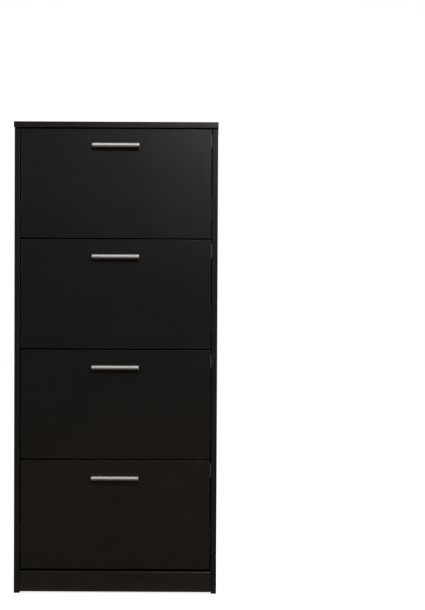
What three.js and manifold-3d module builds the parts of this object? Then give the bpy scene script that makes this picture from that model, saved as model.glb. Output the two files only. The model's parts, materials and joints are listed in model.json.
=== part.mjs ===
// Tall tip-out shoe cabinet: four flaps in a carcass of boards. Each flap is a door with a
// handle, two moulded cheeks and a thin tray, and it tips forward on two low pivots.
// Millimetres. X runs to the right, Y to the back and Z up. The origin is on the floor,
// below the centre of the box that holds the whole cabinet, handles included.

import * as THREE from 'three';
import { mergeVertices } from 'three/addons/utils/BufferGeometryUtils.js';
import Module from 'manifold-3d';

const wasm = await Module();
wasm.setup();

// ---------------------------------------------------------------- driving dimensions

// Carcass
const CABINET_WIDTH = 596;
const CABINET_DEPTH = 174;
const CABINET_HEIGHT = 1383;
const BOARD = 16;
const TOP_BOARD = 17;
const BACK_SHEET = 3;
const BACK_SHEET_INSET = 2;
const BACK_SEAM = 1;
const TOP_END_OVERHANG = 1;
const TOP_FRONT_OVERHANG = 8;
const PLINTH_HEIGHT = 60;
const PLINTH_FLOOR_GAP = 7;
const RAIL_HEIGHT = 60;
const RAIL_TRAY_GAP = 10;
const GLIDE_HEIGHT = 3;
const GLIDE_RADIUS = 7;
const GLIDE_CHAMFER = 1;
const GLIDE_END_INSET = 20;
const WALL_HOLE_RADIUS = 3;
const WALL_HOLE_END_INSET = 80;

// Doors
const FLAP_COUNT = 4;
const DOOR_GAP = 4;
const DOOR_TOP_GAP = 2;
const DOOR_PLINTH_GAP = 8;
const DOOR_SIDE_GAP = 3.5;
const DOOR_RECESS = 1;

// Straight round bar handle on two posts
const HANDLE_LENGTH = 137;
const HANDLE_CENTRES = 96;
const HANDLE_BAR_RADIUS = 6;
const HANDLE_END_CHAMFER = 0.6;
const HANDLE_POST_RADIUS = 4;
const HANDLE_PROJECTION = 25;
const HANDLE_DROP = 50;

// Handle screws
const SCREW_SHANK_RADIUS = 2;
const SCREW_HEAD_RADIUS = 4;
const SCREW_HEAD_HEIGHT = 2.2;
const SCREW_ENGAGEMENT = 9;
const SCREW_HOLE_CLEARANCE = 0.5;
const SCREW_THREAD_CLEARANCE = 0.2;
const SCREW_TIP_ROOM = 2;

// Pivots and the stop that limits the opening angle
const PIVOT_BEHIND_DOOR = 6;
const PIVOT_ABOVE_DOOR_FOOT = 80;
const PIVOT_RADIUS = 3.5;
const PIVOT_CLEARANCE = 0.1;
const PIVOT_TIP_ROOM = 1;
const OPENING_ANGLE = THREE.MathUtils.degToRad(45);
const STOP_ARM = 32;
const STOP_START_ANGLE = THREE.MathUtils.degToRad(15);
const STOP_PEG_RADIUS = 3;
const STOP_PEG_CLEARANCE = 0.4;

// Pivot bracket plates
const BRACKET_THICKNESS = 3;
const BRACKET_FRONT_MARGIN = 10;
const BRACKET_EDGE_MARGIN = 6;
const BRACKET_FOOT = 30;
const BRACKET_CORNER = 7;
const FITTING_SCREW_HOLE_RADIUS = 2.1;
const FITTING_SCREW_MARGIN = 9;

// Moulded cheeks
const CHEEK_WALL = 3;
const CHEEK_RUNNING_GAP = 1.5;
const CHEEK_FOOT_RISE = 18;
const CHEEK_REAR_ROOM = 18;
const CHEEK_FOOT_CORNER = 18;
const CHEEK_TOP_CORNER = 12;
const CHEEK_FRONT_EXTRA = 37;
const CHEEK_FRONT_SHELF = 14;
const CHEEK_REAR_SHELF = 50;
const FLANGE_WIDTH = 12;
const FLANGE_THICKNESS = 2.5;
const FLANGE_END_MARGIN = 6;
const FLANGE_SCREW_COUNT = 3;
const FLANGE_SCREW_END_MARGIN = 16;
const RIB_THICKNESS = 2.5;
const RIB_DEEP = 12;
const RIB_SHALLOW = 6;
const HUB_RADIUS = 9;
const HUB_LENGTH = 8;

// Tray boards
const TRAY_BOARD = 3;
const TRAY_FLOOR_RISE = 30;
const TRAY_END_GAP = 0.5;
const TRAY_REAR_MARGIN = 7;
const TRAY_TOP_MARGIN = 4;

// Magnetic catches
const CATCH_HEIGHT = 40;
const CATCH_WIDTH = 16;
const CATCH_DEPTH = 14;
const CATCH_DROP = 12;
const CATCH_FACE_GAP = 1.3;
const CATCH_CORNER = 2;
const CATCH_SCREW_INSET = 8;
const CATCH_SWING_GAP = 20;

// Air left between two parts that touch on the real cabinet
const JOINT_GAP = 0.2;

// How finely round shapes are divided
const ROUND_SEGMENTS = 24;
const HOLE_SEGMENTS = 10;
const ARC_SEGMENTS = 3;
const CHEEK_ARC_SEGMENTS = 6;

// ---------------------------------------------------------------- derived places

const bodyWidth = CABINET_WIDTH - 2 * TOP_END_OVERHANG;
const innerX = bodyWidth / 2 - BOARD;
const fittedX = innerX - JOINT_GAP;
const sideFrontY = TOP_FRONT_OVERHANG;
const backFrontY = CABINET_DEPTH - BACK_SHEET;
const boardRearY = backFrontY - JOINT_GAP;
const topUndersideZ = CABINET_HEIGHT - TOP_BOARD;
const underTopZ = topUndersideZ - JOINT_GAP;
const plinthTopZ = PLINTH_FLOOR_GAP + PLINTH_HEIGHT;
const plinthRearY = sideFrontY + DOOR_RECESS + BOARD;

const doorFrontY = sideFrontY + DOOR_RECESS;
const doorHalfWidth = innerX - DOOR_SIDE_GAP;
const doorsFootZ = plinthTopZ + DOOR_PLINTH_GAP;
const doorStackHeight = topUndersideZ - DOOR_TOP_GAP - doorsFootZ;
const doorPitch = (doorStackHeight + DOOR_GAP) / FLAP_COUNT;
const doorHeight = doorPitch - DOOR_GAP;

// Flaps count from 1 at the top.
function pivotZ(flap) {
  return doorsFootZ + (FLAP_COUNT - flap) * doorPitch + PIVOT_ABOVE_DOOR_FOOT;
}

// Places below are measured from a flap's pivot.
const pivotY = doorFrontY + BOARD + PIVOT_BEHIND_DOOR;
const doorBackLocalY = -PIVOT_BEHIND_DOOR;
const doorFrontLocalY = doorBackLocalY - BOARD;
const doorFootLocalZ = -PIVOT_ABOVE_DOOR_FOOT;
const doorTopLocalZ = doorFootLocalZ + doorHeight;
const behindDoorY = doorBackLocalY + JOINT_GAP;

const bracketInnerX = innerX - BRACKET_THICKNESS;
const cheekOuterX = bracketInnerX - CHEEK_RUNNING_GAP;
const cheekInnerX = cheekOuterX - CHEEK_WALL;

const catchTopZ = doorTopLocalZ - CATCH_DROP;
const catchFootZ = catchTopZ - CATCH_HEIGHT;

// The cheek's upper rear corner must swing past below the catch.
const cheekRearY = backFrontY - pivotY - CHEEK_REAR_ROOM;
const cheekFootZ = doorFootLocalZ + CHEEK_FOOT_RISE;
const cheekRearTopZ = Math.sqrt((catchFootZ - CATCH_SWING_GAP) ** 2 - cheekRearY ** 2);
const cheekFrontTopZ = cheekRearTopZ + CHEEK_FRONT_EXTRA;

const trayRearY = cheekRearY - TRAY_REAR_MARGIN;
const trayFloorTopZ = doorFootLocalZ + TRAY_FLOOR_RISE + TRAY_BOARD;
const trayBackTopZ = cheekRearTopZ - TRAY_TOP_MARGIN;
const trayHalfWidth = cheekInnerX - TRAY_END_GAP;

// ---------------------------------------------------------------- materials

function finish(color, roughness, metalness) {
  return new THREE.MeshStandardMaterial({ color, roughness, metalness });
}

const materials = {
  board: () => finish(0x1d1a18, 0.5, 0),
  sheet: () => finish(0x3a322b, 0.8, 0),
  fitting: () => finish(0x1b1b1c, 0.6, 0),
  catchBody: () => finish(0xb9b8b4, 0.55, 0),
  handle: () => finish(0xb5b2ac, 0.35, 0.9),
  screw: () => finish(0x9d9d9a, 0.4, 0.9),
  glide: () => finish(0x6e6c68, 0.6, 0),
};

// ---------------------------------------------------------------- shape helpers

// A box between two values along each axis.
function block(xs, ys, zs) {
  const size = [xs, ys, zs].map(([a, b]) => Math.abs(b - a));
  const centre = [xs, ys, zs].map(([a, b]) => (a + b) / 2);
  return new THREE.BoxGeometry(...size).translate(...centre);
}

// A round rod along X (or along Y) between two values, around a point of the other two axes.
function rodAlongX(radius, [x0, x1], [y, z], segments) {
  const rod = new THREE.CylinderGeometry(radius, radius, Math.abs(x1 - x0), segments);
  return rod.rotateZ(Math.PI / 2).translate((x0 + x1) / 2, y, z);
}

function rodAlongY(radius, [y0, y1], [x, z], segments) {
  const rod = new THREE.CylinderGeometry(radius, radius, Math.abs(y1 - y0), segments);
  return rod.translate(x, (y0 + y1) / 2, z);
}

// An outline drawn in the side view (Y, Z), made into a plate between two values of X.
const sideViewBasis = new THREE.Matrix4().makeBasis(
  new THREE.Vector3(0, 1, 0),
  new THREE.Vector3(0, 0, 1),
  new THREE.Vector3(1, 0, 0),
);

function plateAlongX(outline, [x0, x1], curveSegments) {
  const depth = Math.abs(x1 - x0);
  const plate = new THREE.ExtrudeGeometry(outline, { depth, bevelEnabled: false, curveSegments });
  return plate.applyMatrix4(sideViewBasis).translate(Math.min(x0, x1), 0, 0);
}

function roundedRectangle([y0, y1], [z0, z1], radius) {
  const outline = new THREE.Shape();
  outline.absarc(y1 - radius, z0 + radius, radius, -Math.PI / 2, 0);
  outline.absarc(y1 - radius, z1 - radius, radius, 0, Math.PI / 2);
  outline.absarc(y0 + radius, z1 - radius, radius, Math.PI / 2, Math.PI);
  outline.absarc(y0 + radius, z0 + radius, radius, Math.PI, 1.5 * Math.PI);
  outline.closePath();
  return outline;
}

function roundHole(y, z, radius) {
  const hole = new THREE.Path();
  hole.absarc(y, z, radius, 0, 2 * Math.PI, true);
  return hole;
}

// ---------------------------------------------------------------- booleans

function toSolid(geometry) {
  const bare = geometry.clone();
  bare.deleteAttribute('normal');
  bare.deleteAttribute('uv');
  const merged = mergeVertices(bare);
  return new wasm.Manifold(new wasm.Mesh({
    numProp: 3,
    vertProperties: new Float32Array(merged.attributes.position.array),
    triVerts: new Uint32Array(merged.index.array),
  }));
}

function toGeometry(solid) {
  const { vertProperties, triVerts } = solid.getMesh();
  const geometry = new THREE.BufferGeometry();
  geometry.setAttribute('position', new THREE.BufferAttribute(vertProperties, 3));
  geometry.setIndex(new THREE.BufferAttribute(triVerts, 1));
  return geometry;
}

function joined(geometries) {
  return geometries.map(toSolid).reduce((whole, piece) => whole.add(piece));
}

function cut(solid, tools) {
  return toGeometry(tools.map(toSolid).reduce((rest, tool) => rest.subtract(tool), solid));
}

// ---------------------------------------------------------------- assembly helpers

const cabinet = new THREE.Group();
const sides = [['left', -1], ['right', 1]];

function add(group, name, geometry, material) {
  const mesh = new THREE.Mesh(geometry, material());
  mesh.name = name;
  group.add(mesh);
}

function across(halfWidth) {
  return [-halfWidth, halfWidth];
}

// ---------------------------------------------------------------- carcass

function addSidePanel(name, side) {
  const xs = [side * innerX, side * bodyWidth / 2];
  add(cabinet, `side_panel_${name}`, block(xs, [sideFrontY, boardRearY], [GLIDE_HEIGHT, underTopZ]),
    materials.board);
}

function addGlides(name, side) {
  const x = side * (innerX + BOARD / 2);
  const top = GLIDE_HEIGHT - JOINT_GAP;
  const profile = [
    new THREE.Vector2(0, 0),
    new THREE.Vector2(GLIDE_RADIUS - GLIDE_CHAMFER, 0),
    new THREE.Vector2(GLIDE_RADIUS, GLIDE_CHAMFER),
    new THREE.Vector2(GLIDE_RADIUS, top),
    new THREE.Vector2(0, top),
  ];
  const places = [['front', sideFrontY + GLIDE_END_INSET], ['rear', boardRearY - GLIDE_END_INSET]];
  for (const [end, y] of places) {
    const glide = new THREE.LatheGeometry(profile, ROUND_SEGMENTS).rotateX(Math.PI / 2);
    add(cabinet, `glide_${name}_${end}`, glide.translate(x, y, 0), materials.glide);
  }
}

const topPanel = block(across(CABINET_WIDTH / 2), [0, CABINET_DEPTH], [topUndersideZ, CABINET_HEIGHT]);
add(cabinet, 'top_panel', topPanel, materials.board);

for (const [name, side] of sides) {
  addSidePanel(name, side);
  addGlides(name, side);
}

const plinth = block(across(fittedX), [doorFrontY, plinthRearY], [PLINTH_FLOOR_GAP, plinthTopZ]);
add(cabinet, 'plinth', plinth, materials.board);

const bottomPanel = block(
  across(fittedX),
  [plinthRearY + JOINT_GAP, boardRearY],
  [plinthTopZ - BOARD, plinthTopZ],
);
add(cabinet, 'bottom_panel', bottomPanel, materials.board);

const railYs = [boardRearY - BOARD, boardRearY];
const wallHoleX = innerX - WALL_HOLE_END_INSET;
const wallHoleZ = topUndersideZ - RAIL_HEIGHT / 2;
const wallHoles = [-1, 1].map((side) => rodAlongY(
  WALL_HOLE_RADIUS,
  [railYs[0] - BOARD, CABINET_DEPTH + BOARD],
  [side * wallHoleX, wallHoleZ],
  HOLE_SEGMENTS,
));
const topRail = block(across(fittedX), railYs, [topUndersideZ - RAIL_HEIGHT, underTopZ]);
add(cabinet, 'rail_top_rear', cut(toSolid(topRail), wallHoles), materials.board);

// The middle rail stands below a tray's rear foot and carries the seam of the back.
const flapAboveSeam = Math.floor(FLAP_COUNT / 2);
const middleRailTopZ = pivotZ(flapAboveSeam) + cheekFootZ - RAIL_TRAY_GAP;
const middleRail = block(across(fittedX), railYs, [middleRailTopZ - RAIL_HEIGHT, middleRailTopZ]);
add(cabinet, 'rail_middle_rear', middleRail, materials.board);

const seamZ = middleRailTopZ - RAIL_HEIGHT / 2;

const sheetXs = across(bodyWidth / 2 - BACK_SHEET_INSET);
const sheetYs = [backFrontY, CABINET_DEPTH];
const lowerSheet = block(sheetXs, sheetYs, [plinthTopZ - BOARD, seamZ - BACK_SEAM / 2]);
add(cabinet, 'back_sheet_lower', lowerSheet, materials.sheet);
const upperSheet = block(sheetXs, sheetYs, [seamZ + BACK_SEAM / 2, underTopZ]);
add(cabinet, 'back_sheet_upper', cut(toSolid(upperSheet), wallHoles), materials.sheet);

// ---------------------------------------------------------------- fittings on the side panels

function onStopArc(radius, angle) {
  return [radius * Math.cos(angle), radius * Math.sin(angle)];
}

// A slot along the arc that the stop peg follows, with a round end at each limit.
function stopSlot() {
  const half = STOP_PEG_RADIUS + STOP_PEG_CLEARANCE;
  const open = STOP_START_ANGLE + OPENING_ANGLE;
  const slot = new THREE.Path();
  slot.absarc(0, 0, STOP_ARM + half, STOP_START_ANGLE, open);
  slot.absarc(...onStopArc(STOP_ARM, open), half, open, open + Math.PI);
  slot.absarc(0, 0, STOP_ARM - half, open, STOP_START_ANGLE, true);
  slot.absarc(...onStopArc(STOP_ARM, STOP_START_ANGLE), half, STOP_START_ANGLE + Math.PI,
    STOP_START_ANGLE + 2 * Math.PI);
  slot.closePath();
  return slot;
}

function addPivotBracket(group, name, side, flap) {
  const reach = STOP_ARM + STOP_PEG_RADIUS + STOP_PEG_CLEARANCE + BRACKET_EDGE_MARGIN;
  const outline = roundedRectangle([-BRACKET_FRONT_MARGIN, reach], [-BRACKET_FOOT, reach], BRACKET_CORNER);
  const screwHole = (y, z) => roundHole(y, z, FITTING_SCREW_HOLE_RADIUS);
  outline.holes.push(
    stopSlot(),
    screwHole(reach - FITTING_SCREW_MARGIN, FITTING_SCREW_MARGIN - BRACKET_FOOT),
    screwHole(FITTING_SCREW_MARGIN - BRACKET_FRONT_MARGIN, reach - FITTING_SCREW_MARGIN),
  );
  const plate = plateAlongX(outline, [side * bracketInnerX, side * fittedX], ARC_SEGMENTS);
  const studTipX = cheekInnerX - HUB_LENGTH + PIVOT_TIP_ROOM;
  const stud = rodAlongX(PIVOT_RADIUS, [side * studTipX, side * fittedX], [0, 0], ROUND_SEGMENTS);
  const bracket = toGeometry(joined([plate, stud]));
  add(group, `pivot_bracket_${name}_${flap}`, bracket, materials.fitting);
}

function addCatch(group, flap) {
  const faceY = doorBackLocalY + CATCH_FACE_GAP;
  const outline = roundedRectangle([faceY, faceY + CATCH_DEPTH], [catchFootZ, catchTopZ], CATCH_CORNER);
  for (const z of [catchFootZ + CATCH_SCREW_INSET, catchTopZ - CATCH_SCREW_INSET]) {
    outline.holes.push(roundHole(faceY + CATCH_DEPTH / 2, z, FITTING_SCREW_HOLE_RADIUS));
  }
  const body = plateAlongX(outline, [innerX - CATCH_WIDTH, fittedX], ARC_SEGMENTS);
  add(group, `catch_${flap}`, body, materials.catchBody);
}

// ---------------------------------------------------------------- flap pieces

function addDoor(group, flap) {
  const panel = block(
    across(doorHalfWidth),
    [doorFrontLocalY, doorBackLocalY],
    [doorFootLocalZ, doorTopLocalZ],
  );
  const holes = [-1, 1].map((side) => rodAlongY(
    SCREW_SHANK_RADIUS + SCREW_HOLE_CLEARANCE,
    [doorFrontLocalY - BOARD, doorBackLocalY + BOARD],
    [side * HANDLE_CENTRES / 2, doorTopLocalZ - HANDLE_DROP],
    HOLE_SEGMENTS,
  ));
  add(group, `door_${flap}`, cut(toSolid(panel), holes), materials.board);
}

function addHandle(group, flap) {
  const z = doorTopLocalZ - HANDLE_DROP;
  const barY = doorFrontLocalY - HANDLE_PROJECTION + HANDLE_BAR_RADIUS;
  const halfLength = HANDLE_LENGTH / 2;
  const endRadius = HANDLE_BAR_RADIUS - HANDLE_END_CHAMFER;
  const profile = [
    new THREE.Vector2(0, -halfLength),
    new THREE.Vector2(endRadius, -halfLength),
    new THREE.Vector2(HANDLE_BAR_RADIUS, HANDLE_END_CHAMFER - halfLength),
    new THREE.Vector2(HANDLE_BAR_RADIUS, halfLength - HANDLE_END_CHAMFER),
    new THREE.Vector2(endRadius, halfLength),
    new THREE.Vector2(0, halfLength),
  ];
  const bar = new THREE.LatheGeometry(profile, ROUND_SEGMENTS).rotateZ(Math.PI / 2).translate(0, barY, z);
  const postYs = [barY, doorFrontLocalY - JOINT_GAP];
  const posts = [-1, 1].map((side) => rodAlongY(
    HANDLE_POST_RADIUS,
    postYs,
    [side * HANDLE_CENTRES / 2, z],
    ROUND_SEGMENTS,
  ));
  const holes = [-1, 1].map((side) => rodAlongY(
    SCREW_SHANK_RADIUS + SCREW_THREAD_CLEARANCE,
    [doorFrontLocalY - SCREW_ENGAGEMENT - SCREW_TIP_ROOM, doorFrontLocalY + BOARD / 2],
    [side * HANDLE_CENTRES / 2, z],
    HOLE_SEGMENTS,
  ));
  add(group, `handle_${flap}`, cut(joined([bar, ...posts]), holes), materials.handle);
}

function addHandleScrew(group, name, side, flap) {
  const tipY = -BOARD - SCREW_ENGAGEMENT;
  const profile = [
    new THREE.Vector2(0, tipY),
    new THREE.Vector2(SCREW_SHANK_RADIUS, tipY),
    new THREE.Vector2(SCREW_SHANK_RADIUS, JOINT_GAP),
    new THREE.Vector2(SCREW_HEAD_RADIUS, JOINT_GAP),
    new THREE.Vector2(SCREW_HEAD_RADIUS, JOINT_GAP + SCREW_HEAD_HEIGHT / 2),
    new THREE.Vector2(SCREW_SHANK_RADIUS, JOINT_GAP + SCREW_HEAD_HEIGHT),
    new THREE.Vector2(0, JOINT_GAP + SCREW_HEAD_HEIGHT),
  ];
  const screw = new THREE.LatheGeometry(profile, HOLE_SEGMENTS);
  screw.translate(side * HANDLE_CENTRES / 2, doorBackLocalY, doorTopLocalZ - HANDLE_DROP);
  add(group, `handle_screw_${name}_${flap}`, screw, materials.screw);
}

// Side view of a cheek: upright at the door, low at the back, round where it swings.
function cheekOutline() {
  const outline = new THREE.Shape();
  outline.moveTo(behindDoorY, cheekFootZ);
  outline.lineTo(cheekRearY - CHEEK_FOOT_CORNER, cheekFootZ);
  outline.absarc(cheekRearY - CHEEK_FOOT_CORNER, cheekFootZ + CHEEK_FOOT_CORNER, CHEEK_FOOT_CORNER,
    -Math.PI / 2, 0);
  outline.absarc(cheekRearY - CHEEK_TOP_CORNER, cheekRearTopZ - CHEEK_TOP_CORNER, CHEEK_TOP_CORNER,
    0, Math.PI / 2);
  outline.lineTo(CHEEK_REAR_SHELF, cheekRearTopZ);
  const middle = (CHEEK_REAR_SHELF + CHEEK_FRONT_SHELF) / 2;
  outline.bezierCurveTo(middle, cheekRearTopZ, middle, cheekFrontTopZ, CHEEK_FRONT_SHELF, cheekFrontTopZ);
  outline.lineTo(behindDoorY, cheekFrontTopZ);
  outline.closePath();
  return outline;
}

// The hub around the pivot, cut flat where it meets the door.
function hubOutline() {
  const flat = Math.acos(behindDoorY / HUB_RADIUS);
  const outline = new THREE.Shape();
  outline.absarc(0, 0, HUB_RADIUS, -flat, flat);
  outline.closePath();
  return outline;
}

// Ribs that hold the floor board from below and above, and the back board from both faces.
function cheekRibs(ribXs) {
  const floorUnder = trayFloorTopZ - TRAY_BOARD - JOINT_GAP;
  const floorOver = trayFloorTopZ + JOINT_GAP;
  const backBehind = trayRearY + JOINT_GAP;
  const backBefore = trayRearY - TRAY_BOARD - JOINT_GAP;
  const ribTopZ = trayBackTopZ - TRAY_TOP_MARGIN;
  const frontY = behindDoorY + FLANGE_THICKNESS;
  const footZ = floorUnder - RIB_THICKNESS;
  const rearY = backBehind + RIB_THICKNESS;
  return [
    block(ribXs(RIB_DEEP), [behindDoorY, rearY], [footZ, floorUnder]),
    block(ribXs(RIB_SHALLOW), [frontY, backBefore], [floorOver, floorOver + RIB_THICKNESS]),
    block(ribXs(RIB_DEEP), [backBehind, rearY], [footZ, ribTopZ]),
    block(ribXs(RIB_SHALLOW), [backBefore - RIB_THICKNESS, backBefore], [floorOver, ribTopZ]),
  ];
}

function addCheek(group, name, side, flap) {
  const wallXs = [side * cheekInnerX, side * cheekOuterX];
  const ribXs = (width) => [side * (cheekInnerX - width), side * (cheekInnerX + CHEEK_WALL / 2)];
  const flangeZs = [cheekFootZ + FLANGE_END_MARGIN, cheekFrontTopZ - FLANGE_END_MARGIN];
  const pegAt = onStopArc(STOP_ARM, STOP_START_ANGLE);
  const pegXs = [side * (cheekInnerX + CHEEK_WALL / 2), side * (innerX - BRACKET_THICKNESS / 2)];
  const moulding = joined([
    plateAlongX(cheekOutline(), wallXs, CHEEK_ARC_SEGMENTS),
    block(ribXs(FLANGE_WIDTH), [behindDoorY, behindDoorY + FLANGE_THICKNESS], flangeZs),
    plateAlongX(hubOutline(), ribXs(HUB_LENGTH), ROUND_SEGMENTS / 3),
    rodAlongX(STOP_PEG_RADIUS, pegXs, pegAt, HOLE_SEGMENTS),
    ...cheekRibs(ribXs),
  ]);
  const bore = rodAlongX(
    PIVOT_RADIUS + PIVOT_CLEARANCE,
    [side * (cheekInnerX - 2 * HUB_LENGTH), side * innerX],
    [0, 0],
    ROUND_SEGMENTS,
  );
  const firstScrewZ = flangeZs[0] + FLANGE_SCREW_END_MARGIN;
  const screwPitch = (flangeZs[1] - FLANGE_SCREW_END_MARGIN - firstScrewZ) / (FLANGE_SCREW_COUNT - 1);
  const screwX = side * (cheekInnerX - FLANGE_WIDTH / 2);
  const screwHoles = Array.from({ length: FLANGE_SCREW_COUNT }, (_, i) => rodAlongY(
    FITTING_SCREW_HOLE_RADIUS,
    [doorBackLocalY, behindDoorY + 2 * FLANGE_THICKNESS],
    [screwX, firstScrewZ + i * screwPitch],
    HOLE_SEGMENTS,
  ));
  add(group, `cheek_${name}_${flap}`, cut(moulding, [bore, ...screwHoles]), materials.fitting);
}

function addTray(group, flap) {
  const xs = across(trayHalfWidth);
  const frontY = behindDoorY + FLANGE_THICKNESS + JOINT_GAP;
  const floorZs = [trayFloorTopZ - TRAY_BOARD, trayFloorTopZ];
  const backYs = [trayRearY - TRAY_BOARD, trayRearY];
  const backZs = [trayFloorTopZ + JOINT_GAP, trayBackTopZ];
  add(group, `tray_floor_${flap}`, block(xs, [frontY, trayRearY], floorZs), materials.sheet);
  add(group, `tray_back_${flap}`, block(xs, backYs, backZs), materials.sheet);
}

for (let flap = 1; flap <= FLAP_COUNT; flap += 1) {
  const atPivot = new THREE.Group();
  atPivot.position.set(0, pivotY, pivotZ(flap));
  cabinet.add(atPivot);
  addDoor(atPivot, flap);
  addHandle(atPivot, flap);
  addTray(atPivot, flap);
  addCatch(atPivot, flap);
  for (const [name, side] of sides) {
    addHandleScrew(atPivot, name, side, flap);
    addCheek(atPivot, name, side, flap);
    addPivotBracket(atPivot, name, side, flap);
  }
}

// Centre the whole depth, from the handles' fronts to the back, on the origin.
cabinet.position.y = -(doorFrontY - HANDLE_PROJECTION + CABINET_DEPTH) / 2;

export default cabinet;
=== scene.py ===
# %% [markdown]
# # A tip-out shoe cabinet in near-black board
#
# This lesson dresses a finished furniture model. The boards, hinges and trays already have
# their real sizes and places, so nothing is moved here. Each plain solid either keeps its
# shape and gets a better surface, or is stood for by a piece with the rounded edges, screws
# and edge bands of the real one. All lengths are in metres and all places are the cabinet's
# own, so every piece is made where it belongs and its object stays at the origin.

# %% Load the cabinet
import json
import math
import random

import bmesh
import bpy
from mathutils import Matrix, Vector


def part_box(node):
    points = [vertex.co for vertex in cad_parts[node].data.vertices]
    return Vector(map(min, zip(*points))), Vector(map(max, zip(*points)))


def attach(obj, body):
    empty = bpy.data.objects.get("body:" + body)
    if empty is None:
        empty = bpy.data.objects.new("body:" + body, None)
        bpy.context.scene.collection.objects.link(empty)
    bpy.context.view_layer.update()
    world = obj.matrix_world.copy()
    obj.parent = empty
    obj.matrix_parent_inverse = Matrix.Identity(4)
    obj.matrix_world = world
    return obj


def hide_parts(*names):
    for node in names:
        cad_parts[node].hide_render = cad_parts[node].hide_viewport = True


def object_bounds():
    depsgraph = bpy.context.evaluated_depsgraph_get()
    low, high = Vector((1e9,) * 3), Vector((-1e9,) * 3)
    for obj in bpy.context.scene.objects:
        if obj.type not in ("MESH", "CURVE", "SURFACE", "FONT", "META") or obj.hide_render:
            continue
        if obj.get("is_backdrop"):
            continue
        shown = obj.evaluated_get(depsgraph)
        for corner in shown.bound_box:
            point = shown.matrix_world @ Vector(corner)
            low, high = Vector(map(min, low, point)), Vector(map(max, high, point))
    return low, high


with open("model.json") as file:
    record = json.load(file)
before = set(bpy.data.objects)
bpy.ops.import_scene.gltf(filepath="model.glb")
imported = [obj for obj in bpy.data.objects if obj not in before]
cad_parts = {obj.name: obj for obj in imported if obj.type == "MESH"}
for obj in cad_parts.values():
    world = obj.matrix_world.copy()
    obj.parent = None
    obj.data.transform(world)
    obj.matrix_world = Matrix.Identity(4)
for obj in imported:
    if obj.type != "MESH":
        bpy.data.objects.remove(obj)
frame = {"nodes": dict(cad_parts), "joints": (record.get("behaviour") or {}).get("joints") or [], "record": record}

MM = 0.001
cad_low, cad_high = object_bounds()
SIDES = {"left": -1, "right": 1}
FLAPS = [joint["child"] for joint in frame["joints"]]
NUMBERS = range(1, len(FLAPS) + 1)
print("flaps:", FLAPS, "size:", [round(value, 3) for value in cad_high - cad_low])

# %% [markdown]
# ## The camera
#
# A cabinet is best shown from a few metres away through a longish lens, so that upright edges
# stay upright. This camera stands at waist height, in line with the cabinet's right side panel,
# and faces the doors squarely. It tips down by less than a degree, and it is rolled by a
# quarter of a degree, as a camera on a hand-set tripod often is.

# %% Camera
CAMERA_PLACE = (0.2825, -3.27, 0.8987)
CAMERA_LENS = 64.59
CAMERA_SENSOR = 36
CAMERA_DIP = math.radians(0.858)
CAMERA_ROLL = math.radians(0.278)

camera = bpy.data.objects.new("camera", bpy.data.cameras.new("camera"))
camera.data.lens = CAMERA_LENS
camera.data.sensor_width = CAMERA_SENSOR
aim = Matrix.Rotation(math.pi / 2 - CAMERA_DIP, 4, "X") @ Matrix.Rotation(CAMERA_ROLL, 4, "Z")
camera.matrix_world = Matrix.Translation(CAMERA_PLACE) @ aim
bpy.context.scene.collection.objects.link(camera)
bpy.context.scene.camera = camera
print("camera at", CAMERA_PLACE)

# %% [markdown]
# ## Node helpers
#
# A material is a small graph of nodes. Written out by hand, each node takes five or six
# lines, so a few helpers do the repeated work. `new_material` starts an empty graph. `put` adds
# one node and fills its inputs, each with a plain value or with a link from another node.
# `make_group` starts a reusable group with named sockets, and `place_group` sets one into a
# material, which is how one grain, or one paling of edges that stands for rubbing and a painted
# highlight, can serve many materials.

# %% Node helpers
def fill_sockets(tree, node, sockets):
    for name, value in sockets.items():
        if isinstance(value, bpy.types.NodeSocket):
            tree.links.new(value, node.inputs[name])
        else:
            node.inputs[name].default_value = value


def put(tree, kind, sockets=None, **settings):
    node = tree.nodes.new("ShaderNode" + kind)
    for name, value in settings.items():
        setattr(node, name, value)
    fill_sockets(tree, node, sockets or {})
    return node


def make_group(name, inputs, outputs):
    tree = bpy.data.node_groups.new(name, "ShaderNodeTree")
    for label, (kind, value) in inputs.items():
        socket = tree.interface.new_socket(name=label, in_out="INPUT", socket_type=kind)
        if value is not None:
            socket.default_value = value
    for label, kind in outputs.items():
        tree.interface.new_socket(name=label, in_out="OUTPUT", socket_type=kind)
    return tree, tree.nodes.new("NodeGroupInput").outputs, tree.nodes.new("NodeGroupOutput").inputs


def place_group(tree, group, sockets):
    node = tree.nodes.new("ShaderNodeGroup")
    node.node_tree = group
    fill_sockets(tree, node, sockets)
    return node.outputs


def new_material(name):
    material = bpy.data.materials.new(name)
    material.use_nodes = True
    material.node_tree.nodes.clear()
    return material, material.node_tree


FLOAT, VECTOR = "NodeSocketFloat", "NodeSocketVector"
print("node helpers ready")

# %% [markdown]
# ## The studio
#
# The cabinet stands on a plain pale floor in an even white room. The camera sees the floor
# and the room as white, but they may not act as lamps of that strength, or a black board
# would turn grey. So both add their white for camera rays, and only part of it for others.
# Close to the cabinet the floor keeps enough of its own pale paint to hold a shadow. Further
# off, and in front of the doors, the paint is a dim brown that throws little light up at them.
# Metal needs something to mirror, so reflections see the white behind the cabinet too, and a
# dim studio on the camera's side.

# %% Floor
FLOOR_HALF_SIZE = 9.0
PALE_UNTIL = 0.5
DIM_FROM = 1.1
FRONT_FADE = (0.05, -0.15)
REAR_FADE = (0.0, 0.6)
PALE_PAINT = (0.8, 0.79, 0.77, 1)
DIM_PAINT = (0.115, 0.085, 0.055, 1)
GLOW_NEAR = 0.70
WHITE = (1, 1, 1, 1)


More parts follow.
